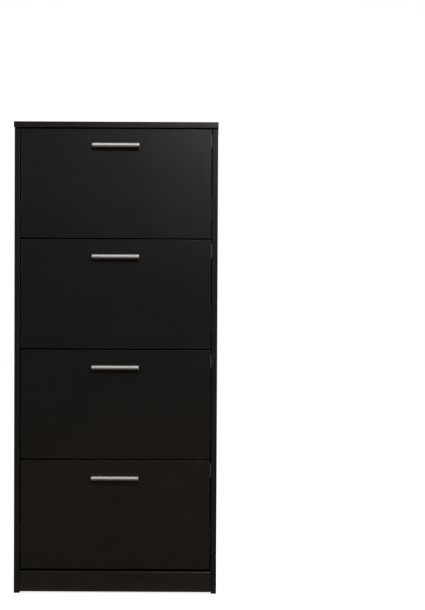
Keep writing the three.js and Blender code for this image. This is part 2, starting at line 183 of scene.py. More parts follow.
def make_floor():
    bm = bmesh.new()
    bmesh.ops.create_grid(bm, x_segments=1, y_segments=1, size=FLOOR_HALF_SIZE)
    mesh = bpy.data.meshes.new("floor")
    bm.to_mesh(mesh)
    bm.free()
    floor = bpy.data.objects.new("floor", mesh)
    bpy.context.scene.collection.objects.link(floor)
    floor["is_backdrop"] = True
    return floor


def floor_material():
    material, tree = new_material("pale_floor")
    place = put(tree, "TexCoord").outputs["Object"]
    reach = put(tree, "VectorMath", {0: place}, operation="LENGTH").outputs["Value"]
    around = put(tree, "MapRange", {"Value": reach, "From Min": PALE_UNTIL,
                                    "From Max": DIM_FROM}).outputs[0]
    depth = put(tree, "SeparateXYZ", {"Vector": place}).outputs["Y"]
    ahead = put(tree, "MapRange", {"Value": depth, "From Min": FRONT_FADE[0],
                                   "From Max": FRONT_FADE[1]}).outputs[0]
    away = put(tree, "Math", {0: around, 1: ahead}, operation="MAXIMUM").outputs[0]
    paint = put(tree, "Mix", {0: away, 6: PALE_PAINT, 7: DIM_PAINT}, data_type="RGBA").outputs[2]
    diffuse = put(tree, "BsdfDiffuse", {"Color": paint})
    level = put(tree, "MapRange", {"Value": away, "To Min": GLOW_NEAR, "To Max": 1.0}).outputs[0]
    behind = put(tree, "MapRange", {"Value": depth, "From Min": REAR_FADE[0],
                                    "From Max": REAR_FADE[1]}).outputs[0]
    path = put(tree, "LightPath")
    mirrored = put(tree, "Math", {0: path.outputs["Is Glossy Ray"], 1: behind}, operation="MULTIPLY")
    through = put(tree, "Math", {0: path.outputs["Is Camera Ray"],
                                 1: path.outputs["Is Transmission Ray"]}, operation="MAXIMUM")
    seen = put(tree, "Math", {0: through.outputs[0], 1: mirrored.outputs[0]}, operation="MAXIMUM")
    strength = put(tree, "Math", {0: seen.outputs[0], 1: level}, operation="MULTIPLY")
    white = put(tree, "Emission", {"Color": WHITE, "Strength": strength.outputs[0]})
    both = put(tree, "AddShader", {0: diffuse.outputs[0], 1: white.outputs[0]})
    put(tree, "OutputMaterial", {"Surface": both.outputs[0]})
    return material


floor = make_floor()
floor.data.materials.append(floor_material())
print("floor of", 2 * FLOOR_HALF_SIZE, "m")

# %% World
ROOM_FILL = 0.28
ROOM_FRONT = 0.03
ROOM_BACK = 1.0
ROOM_FADE = (-0.1, 0.5)


def make_world():
    world = bpy.data.worlds.new("studio")
    world.use_nodes = True
    tree = world.node_tree
    tree.nodes.clear()
    path = put(tree, "LightPath")
    direction = put(tree, "TexCoord").outputs["Generated"]
    depth = put(tree, "SeparateXYZ", {"Vector": direction}).outputs["Y"]
    behind = put(tree, "MapRange", {"Value": depth, "From Min": ROOM_FADE[0], "From Max": ROOM_FADE[1],
                                    "To Min": ROOM_FRONT, "To Max": ROOM_BACK})
    fill = put(tree, "Background", {"Color": WHITE, "Strength": ROOM_FILL})
    mirrored = put(tree, "Background", {"Color": WHITE, "Strength": behind.outputs[0]})
    white = put(tree, "Background", {"Color": WHITE, "Strength": 1.0})
    shiny = put(tree, "Math", {0: path.outputs["Is Glossy Ray"], 1: path.outputs["Is Transmission Ray"]},
                operation="MAXIMUM")
    lit = put(tree, "MixShader", {0: shiny.outputs[0], 1: fill.outputs[0], 2: mirrored.outputs[0]})
    seen = put(tree, "MixShader", {0: path.outputs["Is Camera Ray"], 1: lit.outputs[0],
                                   2: white.outputs[0]})
    put(tree, "OutputWorld", {"Surface": seen.outputs[0]})
    bpy.context.scene.world = world


make_world()
bpy.context.scene.view_settings.view_transform = "Standard"
print("world ready")

# %% [markdown]
# ## The lamps
#
# Soft boxes light the cabinet. The key hangs high behind the camera's right shoulder. A board
# with a satin face mirrors it weakly, so it leaves a sheen that is strongest in the upper
# right of the top door and dies away downwards. The others stand well off to the sides and
# overhead, where the doors can't mirror them, and only bring the light up to its plain level.

# %% Lamps
def soft_box(name, place, target, size, power):
    data = bpy.data.lights.new(name, "AREA")
    data.shape = "RECTANGLE"
    data.size, data.size_y = size
    data.energy = power
    lamp = bpy.data.objects.new(name, data)
    lamp.location = place
    lamp.rotation_mode = "QUATERNION"
    lamp.rotation_quaternion = (Vector(target) - Vector(place)).to_track_quat("-Z", "Y")
    bpy.context.scene.collection.objects.link(lamp)


soft_box("key", (1.1, -4.2, 3.3), (0, 0, 0.8), (1.3, 1.3), 135)
soft_box("left_fill", (-3.4, -1.6, 1.4), (0, 0, 0.7), (1.8, 1.8), 48)
soft_box("right_fill", (3.4, -1.2, 1.2), (0, 0, 0.6), (1.8, 1.8), 40)
soft_box("overhead", (0.0, -0.7, 3.4), (0, 0, 1.0), (1.6, 1.6), 16)

# %% [markdown]
# ## Shared surface effects
#
# Most finishes here need the same few effects: a fine directional grain, paler edges where
# edges catch hands and light, which stand for rubbing and also paint in a highlight, faint marks
# that make a sheen uneven, and the etched skin of a moulding. Each is a node group with its own
# inputs, so every material can set how strong or how fine it is.

# %% Grain group
FINE_STRETCH = (3.0, 4.5, 4.5)
PORE_SHADE = 0.25


def grain_group():
    tree, inp, out = make_group(
        "fine_grain",
        {"Vector": (VECTOR, None), "Contrast": (FLOAT, 1.0), "Pores": (FLOAT, 1.0)},
        {"Tone": FLOAT, "Relief": FLOAT},
    )
    broad = put(tree, "TexNoise", {"Vector": inp["Vector"], "Scale": 1.0, "Detail": 3.0,
                                   "Roughness": 0.6, "Distortion": 0.4})
    fine_vector = put(tree, "VectorMath", {0: inp["Vector"], 1: FINE_STRETCH}, operation="MULTIPLY")
    fine = put(tree, "TexNoise", {"Vector": fine_vector.outputs[0], "Scale": 1.0, "Detail": 2.0})
    pore = put(tree, "MapRange", {"Value": fine.outputs["Fac"], "From Min": 0.56, "From Max": 0.70})
    pores = put(tree, "Math", {0: pore.outputs[0], 1: inp["Pores"]}, operation="MULTIPLY")
    level = put(tree, "Math", {0: broad.outputs["Fac"], 1: 0.5}, operation="SUBTRACT")
    spread = put(tree, "Math", {0: level.outputs[0], 1: inp["Contrast"]}, operation="MULTIPLY")
    tone = put(tree, "Math", {0: spread.outputs[0], 1: 0.5}, operation="ADD")
    darker = put(tree, "Math", {0: pores.outputs[0], 1: PORE_SHADE}, operation="MULTIPLY")
    final = put(tree, "Math", {0: tone.outputs[0], 1: darker.outputs[0]}, operation="SUBTRACT",
                use_clamp=True)
    relief = put(tree, "Math", {0: tone.outputs[0], 1: pores.outputs[0]}, operation="SUBTRACT")
    tree.links.new(final.outputs[0], out["Tone"])
    tree.links.new(relief.outputs[0], out["Relief"])
    return tree


GRAIN = grain_group()
print("group:", GRAIN.name)

# %% Edge group: rubbing and painted highlight
def edge_wear_and_highlight_group():
    tree, inp, out = make_group(
        "edge_wear_and_painted_highlight",
        {"Vector": (VECTOR, None), "Radius": (FLOAT, 0.001), "Amount": (FLOAT, 1.0)},
        {"Mask": FLOAT},
    )
    # The mask pales rounded edges. It stands for rubbed spots and also paints in the highlight that a rounded edge
    # catches.
    rounded = put(tree, "Bevel", {"Radius": inp["Radius"]}, samples=4)
    true_normal = put(tree, "NewGeometry").outputs["True Normal"]
    facing = put(tree, "VectorMath", {0: rounded.outputs[0], 1: true_normal}, operation="DOT_PRODUCT")
    edge = put(tree, "MapRange", {"Value": facing.outputs["Value"], "From Min": 1.0, "From Max": 0.8})
    patchy = put(tree, "TexNoise", {"Vector": inp["Vector"], "Scale": 60.0, "Detail": 3.0})
    broken = put(tree, "MapRange", {"Value": patchy.outputs["Fac"], "From Min": 0.35, "From Max": 0.6,
                                    "To Min": 0.35, "To Max": 1.0})
    worn_and_highlighted = put(tree, "Math", {0: edge.outputs[0], 1: broken.outputs[0]}, operation="MULTIPLY")
    mask = put(tree, "Math", {0: worn_and_highlighted.outputs[0], 1: inp["Amount"]}, operation="MULTIPLY", use_clamp=True)
    tree.links.new(mask.outputs[0], out["Mask"])
    return tree


EDGE_WEAR_AND_HIGHLIGHT = edge_wear_and_highlight_group()
print("group:", EDGE_WEAR_AND_HIGHLIGHT.name)

# %% Uneven sheen group
def sheen_group():
    tree, inp, out = make_group(
        "uneven_sheen",
        {"Vector": (VECTOR, None), "Scale": (FLOAT, 6.0), "Middle": (FLOAT, 0.5), "Swing": (FLOAT, 0.1)},
        {"Roughness": FLOAT},
    )
    cloud = put(tree, "TexNoise", {"Vector": inp["Vector"], "Scale": inp["Scale"], "Detail": 4.0})
    level = put(tree, "Math", {0: cloud.outputs["Fac"], 1: 0.5}, operation="SUBTRACT")
    swing = put(tree, "Math", {0: level.outputs[0], 1: inp["Swing"]}, operation="MULTIPLY")
    rough = put(tree, "Math", {0: swing.outputs[0], 1: inp["Middle"]}, operation="ADD", use_clamp=True)
    tree.links.new(rough.outputs[0], out["Roughness"])
    return tree


SHEEN = sheen_group()
print("group:", SHEEN.name)

# %% Moulded skin group
def skin_group():
    tree, inp, out = make_group(
        "moulded_skin",
        {"Vector": (VECTOR, None), "Scale": (FLOAT, 2500.0)},
        {"Height": FLOAT},
    )
    cells = put(tree, "TexVoronoi", {"Vector": inp["Vector"], "Scale": inp["Scale"]},
                feature="SMOOTH_F1")
    tree.links.new(cells.outputs["Distance"], out["Height"])
    return tree


SKIN = skin_group()
print("group:", SKIN.name)

# %% [markdown]
# ## The board's finish
#
# The boards are particle board with a near-black brown paper face, printed and embossed like
# fine wood. A painted texture would tile and would fix the grain's size, so the grain is made
# from noise stretched along the board: long soft streaks, and short pores pressed into the
# face. The grain runs along a long board, so uprights and cross boards get their own
# direction from a Mapping node.
#
# The side panels are given a shade paler and more neutral colour than the doors, and the lowest
# door and the plinth a warmer one, so each has its own colours.

# %% Board face and edge band
GRAIN_ALONG = 7.0
GRAIN_ACROSS = 420.0
BLACK_BROWN = (0.0059, 0.0055, 0.0051)
SIDE_BLACK = (0.0097, 0.0093, 0.0092)
WARM_BROWN = (0.0077, 0.0066, 0.0050)
PLINTH_BROWN = (0.0096, 0.0085, 0.0070)
GRAIN_DARK, GRAIN_LIGHT = 0.67, 1.33
GRAIN_CONTRAST = 1.6
EMBOSS_DEPTH = 0.05 * MM
# Colour that rounded edges are paled towards: partly rubbed spots, partly a painted highlight.
EDGE_WEAR_AND_HIGHLIGHT_COLOUR = (0.030, 0.027, 0.024, 1)
EDGE_REACH = 1.2 * MM
SHEEN_TINT = (1.0, 0.92, 0.89, 1)
SHEEN_ROUGHNESS = 0.28


def scaled(colour, factor):
    return [channel * factor for channel in colour] + [1]


def board_material(name, along, colour, shine=0.5, wear_and_highlight=0.08):
    material, tree = new_material(name)
    place = put(tree, "TexCoord").outputs["Object"]
    scale = [GRAIN_ACROSS] * 3
    scale["xyz".index(along)] = GRAIN_ALONG
    stretched = put(tree, "Mapping", {"Vector": place, "Scale": scale}).outputs[0]
    if along == "z":
        turned = put(tree, "Mapping", {"Vector": stretched, "Rotation": (0, math.pi / 2, 0)})
        stretched = turned.outputs[0]
    grain = place_group(tree, GRAIN, {"Vector": stretched, "Contrast": GRAIN_CONTRAST, "Pores": 1.0})
    edge = place_group(tree, EDGE_WEAR_AND_HIGHLIGHT, {"Vector": place, "Radius": EDGE_REACH, "Amount": wear_and_highlight})
    sheen = place_group(tree, SHEEN, {"Vector": place, "Scale": 5.0, "Middle": SHEEN_ROUGHNESS,
                                      "Swing": 0.06})
    tone = put(tree, "Mix", {0: grain["Tone"], 6: scaled(colour, GRAIN_DARK),
                             7: scaled(colour, GRAIN_LIGHT)}, data_type="RGBA")
    # Rounded edges are mixed towards the pale edge colour, which paints in part of their highlight.
    worn_and_highlighted = put(tree, "Mix", {0: edge["Mask"], 6: tone.outputs[2], 7: EDGE_WEAR_AND_HIGHLIGHT_COLOUR}, data_type="RGBA")
    bump = put(tree, "Bump", {"Height": grain["Relief"], "Strength": 0.25, "Distance": EMBOSS_DEPTH})
    shader = put(tree, "BsdfPrincipled", {
        "Base Color": worn_and_highlighted.outputs[2],
        "Roughness": sheen["Roughness"],
        "Specular IOR Level": shine,
        "Specular Tint": SHEEN_TINT,
        "Normal": bump.outputs[0],
    })
    put(tree, "OutputMaterial", {"Surface": shader.outputs[0]})
    return material


# The edge amount given to each finish sets how much painted highlight and rubbing its rounded edges get.
FACE = board_material("board_face", "x", BLACK_BROWN)
BAND = board_material("edge_band", "x", BLACK_BROWN, wear_and_highlight=0.05)
SIDE_FACE = board_material("side_board_face", "z", SIDE_BLACK)
SIDE_BAND = board_material("side_edge_band", "z", SIDE_BLACK, shine=0.3, wear_and_highlight=0.05)
WARM_FACE = board_material("warm_board_face", "x", WARM_BROWN)
WARM_BAND = board_material("warm_edge_band", "x", WARM_BROWN, wear_and_highlight=0.2)
PLINTH_FACE = board_material("plinth_face", "x", PLINTH_BROWN)
# On the plinth's band the paled top edge paints in the light line that its rounded front edge catches.
PLINTH_BAND = board_material("plinth_edge_band", "x", PLINTH_BROWN, shine=0.35, wear_and_highlight=0.1)
print("board finishes:", [finish.name for finish in bpy.data.materials
                          if finish.name.endswith(("face", "band"))])

# %% [markdown]
# Where no one looks, a maker leaves the edge band off, and the pressed chips show. Chips are
# a cell pattern with a random tone per cell. Hardboard, used for the back and the trays, is
# finer: brown fibres pressed into a sheet, dark and smooth on its lacquered face.

# %% Raw board edges
CHIP_DARK = (0.10, 0.055, 0.028, 1)
CHIP_LIGHT = (0.46, 0.31, 0.17, 1)
CHIPS_PER_METRE = 700.0


def chip_material():
    material, tree = new_material("raw_particle_board")
    place = put(tree, "TexCoord").outputs["Object"]
    chips = put(tree, "TexVoronoi", {"Vector": place, "Scale": CHIPS_PER_METRE, "Randomness": 1.0})
    shade = put(tree, "SeparateColor", {"Color": chips.outputs["Color"]})
    colour = put(tree, "Mix", {0: shade.outputs[0], 6: CHIP_DARK, 7: CHIP_LIGHT}, data_type="RGBA")
    bump = put(tree, "Bump", {"Height": chips.outputs["Distance"], "Strength": 0.6, "Distance": 0.3 * MM})
    shader = put(tree, "BsdfPrincipled", {"Base Color": colour.outputs[2], "Roughness": 0.85,
                                          "Normal": bump.outputs[0]})
    put(tree, "OutputMaterial", {"Surface": shader.outputs[0]})
    return material


CHIPS = chip_material()
print("finish:", CHIPS.name)

# %% Hardboard
FIBRES_PER_METRE = 900.0
CLOUD_SHARE = 0.35


def hardboard_material(name, dark, light, middle):
    material, tree = new_material(name)
    place = put(tree, "TexCoord").outputs["Object"]
    fibres = put(tree, "TexNoise", {"Vector": place, "Scale": FIBRES_PER_METRE, "Detail": 4.0,
                                    "Distortion": 1.5})
    clouds = put(tree, "TexNoise", {"Vector": place, "Scale": 18.0, "Detail": 3.0})
    both = put(tree, "Mix", {0: CLOUD_SHARE, 2: fibres.outputs["Fac"], 3: clouds.outputs["Fac"]})
    spread = put(tree, "MapRange", {"Value": both.outputs[0], "From Min": 0.3, "From Max": 0.7})
    colour = put(tree, "Mix", {0: spread.outputs[0], 6: dark, 7: light}, data_type="RGBA")
    sheen = place_group(tree, SHEEN, {"Vector": place, "Scale": 9.0, "Middle": middle, "Swing": 0.15})
    bump = put(tree, "Bump", {"Height": fibres.outputs["Fac"], "Strength": 0.3, "Distance": 0.1 * MM})
    shader = put(tree, "BsdfPrincipled", {"Base Color": colour.outputs[2],
                                          "Roughness": sheen["Roughness"],
                                          "Normal": bump.outputs[0]})
    put(tree, "OutputMaterial", {"Surface": shader.outputs[0]})
    return material


SHEET_FACE = hardboard_material("hardboard_face", (0.010, 0.008, 0.006, 1), (0.022, 0.017, 0.013, 1), 0.5)
SHEET_RAW = hardboard_material("hardboard_raw", (0.13, 0.068, 0.034, 1), (0.26, 0.15, 0.08, 1), 0.8)
print("finishes:", SHEET_FACE.name, SHEET_RAW.name)

# %% [markdown]
# ## Plastic and metal
#
# The hinge fittings are moulded in black plastic with a finely etched skin, the catches in
# grey. The handles are satin nickel: a metal that scatters its reflections along fine brush
# lines, which a stretched noise in the colour and the normal gives.

# %% Plastics
SKIN_CELLS_PER_METRE = 2500.0
SKIN_DEPTH = 0.05 * MM


def plastic_material(name, colour, edge_wear_and_highlight_colour, middle=0.55):
    material, tree = new_material(name)
    place = put(tree, "TexCoord").outputs["Object"]
    edge = place_group(tree, EDGE_WEAR_AND_HIGHLIGHT, {"Vector": place, "Radius": 0.5 * MM, "Amount": 0.4})
    sheen = place_group(tree, SHEEN, {"Vector": place, "Scale": 30.0, "Middle": middle, "Swing": 0.12})
    height = place_group(tree, SKIN, {"Vector": place, "Scale": SKIN_CELLS_PER_METRE})
    # The moulding's rounded edges turn paler: rubbed spots and a painted highlight.
    tone = put(tree, "Mix", {0: edge["Mask"], 6: colour, 7: edge_wear_and_highlight_colour}, data_type="RGBA")
    bump = put(tree, "Bump", {"Height": height["Height"], "Strength": 0.2, "Distance": SKIN_DEPTH})
    shader = put(tree, "BsdfPrincipled", {"Base Color": tone.outputs[2],
                                          "Roughness": sheen["Roughness"],
                                          "Normal": bump.outputs[0]})
    put(tree, "OutputMaterial", {"Surface": shader.outputs[0]})
    return material


BLACK_PLASTIC = plastic_material("black_plastic", (0.012, 0.012, 0.013, 1), (0.05, 0.05, 0.05, 1))
GREY_PLASTIC = plastic_material("grey_plastic", (0.26, 0.255, 0.25, 1), (0.36, 0.35, 0.34, 1), 0.45)
NYLON = plastic_material("glide_nylon", (0.12, 0.11, 0.10, 1), (0.2, 0.19, 0.18, 1), 0.5)
print("plastics:", BLACK_PLASTIC.name, GREY_PLASTIC.name, NYLON.name)

# %% Metals
BRUSHED_ALONG_X = (60, 2200, 2200)
UNBRUSHED = (700, 700, 700)
BRUSH_DEPTH = 0.02 * MM


def metal_material(name, dark, light, middle, stretch):
    material, tree = new_material(name)
    place = put(tree, "TexCoord").outputs["Object"]
    lines = put(tree, "Mapping", {"Vector": place, "Scale": stretch}).outputs[0]
    brush = put(tree, "TexNoise", {"Vector": lines, "Scale": 1.0, "Detail": 3.0})
    spread = put(tree, "MapRange", {"Value": brush.outputs["Fac"], "From Min": 0.3, "From Max": 0.7})
    sheen = place_group(tree, SHEEN, {"Vector": place, "Scale": 40.0, "Middle": middle, "Swing": 0.12})
    colour = put(tree, "Mix", {0: spread.outputs[0], 6: dark, 7: light}, data_type="RGBA")
    bump = put(tree, "Bump", {"Height": brush.outputs["Fac"], "Strength": 0.15, "Distance": BRUSH_DEPTH})
    shader = put(tree, "BsdfPrincipled", {"Base Color": colour.outputs[2], "Metallic": 1.0,
                                          "Roughness": sheen["Roughness"],
                                          "Normal": bump.outputs[0]})
    put(tree, "OutputMaterial", {"Surface": shader.outputs[0]})
    return material


NICKEL = metal_material("satin_nickel", (0.48, 0.465, 0.445, 1), (0.58, 0.56, 0.54, 1), 0.58,
                        BRUSHED_ALONG_X)
ZINC = metal_material("zinc_plated_steel", (0.42, 0.42, 0.41, 1), (0.6, 0.6, 0.58, 1), 0.38,
                      UNBRUSHED)
FERRITE = plastic_material("magnet_ferrite", (0.03, 0.03, 0.03, 1), (0.06, 0.06, 0.06, 1), 0.6)
print("metals:", NICKEL.name, ZINC.name)

# %% [markdown]
# ## Finishing a piece
#
# Every piece ends in the same way. Faces turn smooth, but edges sharper than a set angle stay
# crisp. A weighted-normal modifier then lets the broad flat faces win over the narrow rounded
# strips beside them, so a flat board shades flat right up to its rim. Last, the piece gets its
# finishes and is hung on the body that carries it, and the plain solids it stands for are hidden.

# %% Piece helper
BODY_OF = {node: body for body, nodes in frame["record"]["behaviour"]["bodies"].items() for node in nodes}
CRISP_ABOVE = math.radians(38)


def finish_piece(bm, name, body, materials, replaces=()):
    bm.normal_update()
    for face in bm.faces:
        face.smooth = True
    for edge in bm.edges:
        edge.smooth = edge.calc_face_angle(0.0) < CRISP_ABOVE
    mesh = bpy.data.meshes.new(name)
    bm.to_mesh(mesh)
    bm.free()
    for material in materials:
        mesh.materials.append(material)
    piece = bpy.data.objects.new(name, mesh)
    bpy.context.scene.collection.objects.link(piece)
    shading = piece.modifiers.new("even_shading", "WEIGHTED_NORMAL")
    shading.keep_sharp = True
    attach(piece, body)
    if replaces:
        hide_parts(*replaces)


# %% [markdown]
# ## Cutting and joining
#
# Holes, dimples and screw recesses are easiest to cut with a Boolean, and a handle's posts are
# easiest to join to its bar with one. Blender offers it as a modifier, so both meshes go into
# short-lived objects, the result is read back, and the objects are thrown away.

# %% Boolean helper
def as_object(bm):
    mesh = bpy.data.meshes.new("bench")
    bm.to_mesh(mesh)
    bm.free()
    thing = bpy.data.objects.new("bench", mesh)
    bpy.context.scene.collection.objects.link(thing)
    return thing


def combine(bm, tool, operation):
    work, cutter = as_object(bm), as_object(tool)
    boolean = work.modifiers.new("boolean", "BOOLEAN")
    boolean.operation = operation
    boolean.solver = "EXACT"
    boolean.object = cutter
    graph = bpy.context.evaluated_depsgraph_get()
    result = bmesh.new()
    result.from_mesh(work.evaluated_get(graph).data)
    for thing in (work, cutter):
        mesh = thing.data
        bpy.data.objects.remove(thing)
        bpy.data.meshes.remove(mesh)
    return result


print("boolean helper ready")

# %% [markdown]
# ## Basic shapes
#
# Three shapes start nearly every piece: a box between two corners, a rod between two points,
# and a turned part, which is half an outline spun round an axis as on a lathe. Bevelling their
# sharp edges comes right after, because a rounded edge is what catches the light.

# %% Shape helpers
WELD = 0.001 * MM
SHARP_ABOVE = math.radians(45)


def box_between(low, high):
    bm = bmesh.new()
    bmesh.ops.create_cube(bm, size=1)
    bmesh.ops.scale(bm, vec=Vector(high) - Vector(low), verts=bm.verts)
    bmesh.ops.translate(bm, vec=(Vector(low) + Vector(high)) / 2, verts=bm.verts)
    return bm


def round_edges(bm, radius, edges=None, segments=3):
    bmesh.ops.bevel(bm, geom=edges or bm.edges[:], offset=radius, offset_type="OFFSET",
                    affect="EDGES", segments=segments, profile=0.5, material=-1, clamp_overlap=True)


def aimed(point, direction, turn=0.0):
    lean = Vector(direction).to_track_quat("Z", "Y").to_matrix().to_4x4()
    return Matrix.Translation(point) @ lean @ Matrix.Rotation(turn, 4, "Z")


def rod(start, end, radius, segments=24, rim=0.0):
    start, end = Vector(start), Vector(end)
    bm = bmesh.new()
    bmesh.ops.create_cone(bm, cap_ends=True, segments=segments, radius1=radius, radius2=radius,
                          depth=(end - start).length)
    if rim:
        rims = [edge for edge in bm.edges if edge.calc_face_angle(0.0) > SHARP_ABOVE]
        round_edges(bm, rim, rims)
    bm.transform(aimed((start + end) / 2, end - start))
    return bm


def turned(profile, steps):
    bm = bmesh.new()
    verts = [bm.verts.new((radius, 0, height)) for radius, height in profile]
    edges = [bm.edges.new(pair) for pair in zip(verts, verts[1:])]
    bmesh.ops.spin(bm, geom=verts + edges, axis=(0, 0, 1), cent=(0, 0, 0), dvec=(0, 0, 0),
                   angle=math.tau, steps=steps, use_merge=True, use_duplicate=False)
    bmesh.ops.remove_doubles(bm, verts=bm.verts, dist=WELD)
    bmesh.ops.recalc_face_normals(bm, faces=bm.faces)
    return bm


def add_copy(bm, other, matrix):
    mesh = bpy.data.meshes.new("copy")
    other.to_mesh(mesh)
    mesh.transform(matrix)
    bm.from_mesh(mesh)
    bpy.data.meshes.remove(mesh)


print("shape helpers ready")

# %% [markdown]
# ## Boards
#
# A melamine board is a sharp slab with a plastic band glued round its edges. The band is
# trimmed with a small round, so that round is real geometry here. A cube is scaled to the
# board's box and bevelled, and each broad face is inset a little, so that the visible thickness
# of the band wears the band's finish. Sides that nobody sees keep their raw chips. The bottom,
# the plinth and the middle rail are a hair longer than the solids they stand for, so that they
# meet the side panels and no line of light shows between them.

# %% Board builder
BAND_STRIP = 0.5 * MM
ALIGNED = 0.999


def make_board(node, materials, radius, raw=(), drill=None, suffix="board", snug=0.0):
    """Materials are the face, the band and the raw edge; raw lists unbanded sides, as in -z."""
    low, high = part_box(node)
    reach = Vector((snug, 0, 0))
    bm = box_between(low - reach, high + reach)
    round_edges(bm, radius)
    faces = sorted(bm.faces, key=lambda face: face.calc_area())[-2:]
    for face in bm.faces:
        face.material_index = 1
    for face in faces:
        face.material_index = 0
    strips = bmesh.ops.inset_individual(bm, faces=faces, thickness=BAND_STRIP, depth=0)
    for face in strips["faces"]:
        face.material_index = 1
    bm.normal_update()
    for sign, axis in raw:
        way = Vector(letter == axis for letter in "xyz") * (1 if sign == "+" else -1)
        for face in bm.faces:
            if face.normal.dot(way) > ALIGNED:
                face.material_index = 2
    if drill:
        bm = combine(bm, drill, "DIFFERENCE")
    finish_piece(bm, f"{node}_{suffix}", BODY_OF[node], materials, [node])


print("board builder ready")

# %% Carcass and doors
CROSS = [FACE, BAND, CHIPS]
UPRIGHT = [SIDE_FACE, SIDE_BAND, CHIPS]
WARMER = [WARM_FACE, WARM_BAND, CHIPS]
PLINTH = [PLINTH_FACE, PLINTH_BAND, CHIPS]
EDGE_ROUND = 0.7 * MM
DOOR_ROUND = 0.6 * MM
PLINTH_ROUND = 2.0 * MM
SNUG = 0.19 * MM

make_board("top_panel", CROSS, EDGE_ROUND, raw=["+y"])
for side in SIDES:
    make_board(f"side_panel_{side}", UPRIGHT, EDGE_ROUND, raw=["+y", "-z", "+z"])
make_board("plinth", PLINTH, PLINTH_ROUND, raw=["-x", "+x"], snug=SNUG)
make_board("bottom_panel", CROSS, EDGE_ROUND, raw=["+y", "-y", "-x", "+x"], snug=SNUG)
make_board("rail_middle_rear", CROSS, EDGE_ROUND, raw=["+z", "-x", "+x"], snug=SNUG)
for number in NUMBERS:
    make_board(f"door_{number}", WARMER if number == NUMBERS[-1] else CROSS, DOOR_ROUND)

# %% [markdown]
# The upper rear rail and the back sheet behind it have two holes, through which the cabinet
# is screwed to the wall. The rods that drill them run through both.

# %% Upper rail with its wall holes
WALL_HOLE_RADIUS = 3 * MM
WALL_HOLE_END_INSET = 79.8 * MM
WALL_HOLE_HEIGHT = 30 * MM
rail_low, rail_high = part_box("rail_top_rear")


def wall_drills(segments=24):
    drills = bmesh.new()
    height = rail_low.z + WALL_HOLE_HEIGHT
    for sign in SIDES.values():
        x = sign * (rail_high.x - WALL_HOLE_END_INSET)
        bit = rod((x, rail_low.y - MM, height), (x, cad_high.y + MM, height), WALL_HOLE_RADIUS, segments)
        add_copy(drills, bit, Matrix())
        bit.free()
    return drills


make_board("rail_top_rear", CROSS, EDGE_ROUND, raw=["+z", "-x", "+x"], drill=wall_drills())
print("wall holes at x =", round(rail_high.x - WALL_HOLE_END_INSET, 4))

# %% [markdown]
# ## The back and its nails
#
# The back is two sheets of hardboard, dark inside and raw brown outside, held by small nails
# along every board that they lie on. The top row runs above the rail's middle, clear of the
# wall holes. A nail is driven until its head sits just below the surface, so each gets a
# shallow dimple, cut with one Boolean for the whole sheet, and a flat turned head.

# %% Nail places
NAIL_PITCH = 110 * MM
NAIL_INSET = 6 * MM
NAIL_HEAD_RADIUS = 2.0 * MM
NAIL_DIMPLE = 0.30 * MM
NAIL_ROW_RISE = 18 * MM
HALF_BOARD = 8 * MM


def centre_of(node):
    low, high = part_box(node)
    return (low + high) / 2


def evenly(start, end, pitch):
    count = max(2, round((end - start) / pitch) + 1)
    return [start + (end - start) * i / (count - 1) for i in range(count)]


def nail_places(half):
    low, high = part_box(f"back_sheet_{half}")
    rows = {"upper": (centre_of("rail_top_rear").z + NAIL_ROW_RISE, low.z + NAIL_INSET),
            "lower": (high.z - NAIL_INSET, low.z + HALF_BOARD)}[half]
    across = evenly(low.x + NAIL_INSET, high.x - NAIL_INSET, NAIL_PITCH)
    upwards = evenly(min(rows), max(rows), NAIL_PITCH)
    points = {(round(x, 5), z) for z in rows for x in across}
    points |= {(round(x, 5), z) for x in (across[0], across[-1]) for z in upwards}
    return sorted(points)


print("nails:", {half: len(nail_places(half)) for half in ("upper", "lower")})

# %% Back sheets and nails
SHEET_ROUND = 0.3 * MM
DIMPLE_RADIUS = NAIL_HEAD_RADIUS + 0.3 * MM
SHEET = [SHEET_FACE, SHEET_RAW, SHEET_RAW]
NAIL_HEAD = turned([(0, -1.0 * MM), (1.2 * MM, -1.0 * MM), (NAIL_HEAD_RADIUS, -0.45 * MM),
                    (NAIL_HEAD_RADIUS, -0.25 * MM), (1.7 * MM, -0.15 * MM), (0, -0.1 * MM)], 10)

for half in ("upper", "lower"):
    drills = wall_drills() if half == "upper" else bmesh.new()
    heads = bmesh.new()
    for x, z in nail_places(half):
        pit = rod((x, cad_high.y - NAIL_DIMPLE, z), (x, cad_high.y + MM, z), DIMPLE_RADIUS, 12)
        add_copy(drills, pit, Matrix())
        pit.free()
        add_copy(heads, NAIL_HEAD, aimed((x, cad_high.y, z), (0, 1, 0)))
    make_board(f"back_sheet_{half}", SHEET, SHEET_ROUND, raw=["+y"], drill=drills, suffix="sheet")
    finish_piece(heads, f"back_nails_{half}", "carcass", [ZINC])
print("back sheets and nails made")

# %% Trays
for number in NUMBERS:
    make_board(f"tray_floor_{number}", SHEET, SHEET_ROUND, suffix="sheet")
    make_board(f"tray_back_{number}", SHEET, SHEET_ROUND, suffix="sheet")

# %% [markdown]
# ## Handles
#
# Each handle is a straight round bar on two posts, in satin nickel. The plain solid has too few
# facets for a polished round bar, so the bar and posts are made again as fine rods and joined
# with a Boolean. The small round on the bar's ends gives them their bright line.

# %% Handle pieces
POST_RADIUS = 4 * MM
BAR_SEGMENTS = 64
END_ROUND = 0.6 * MM


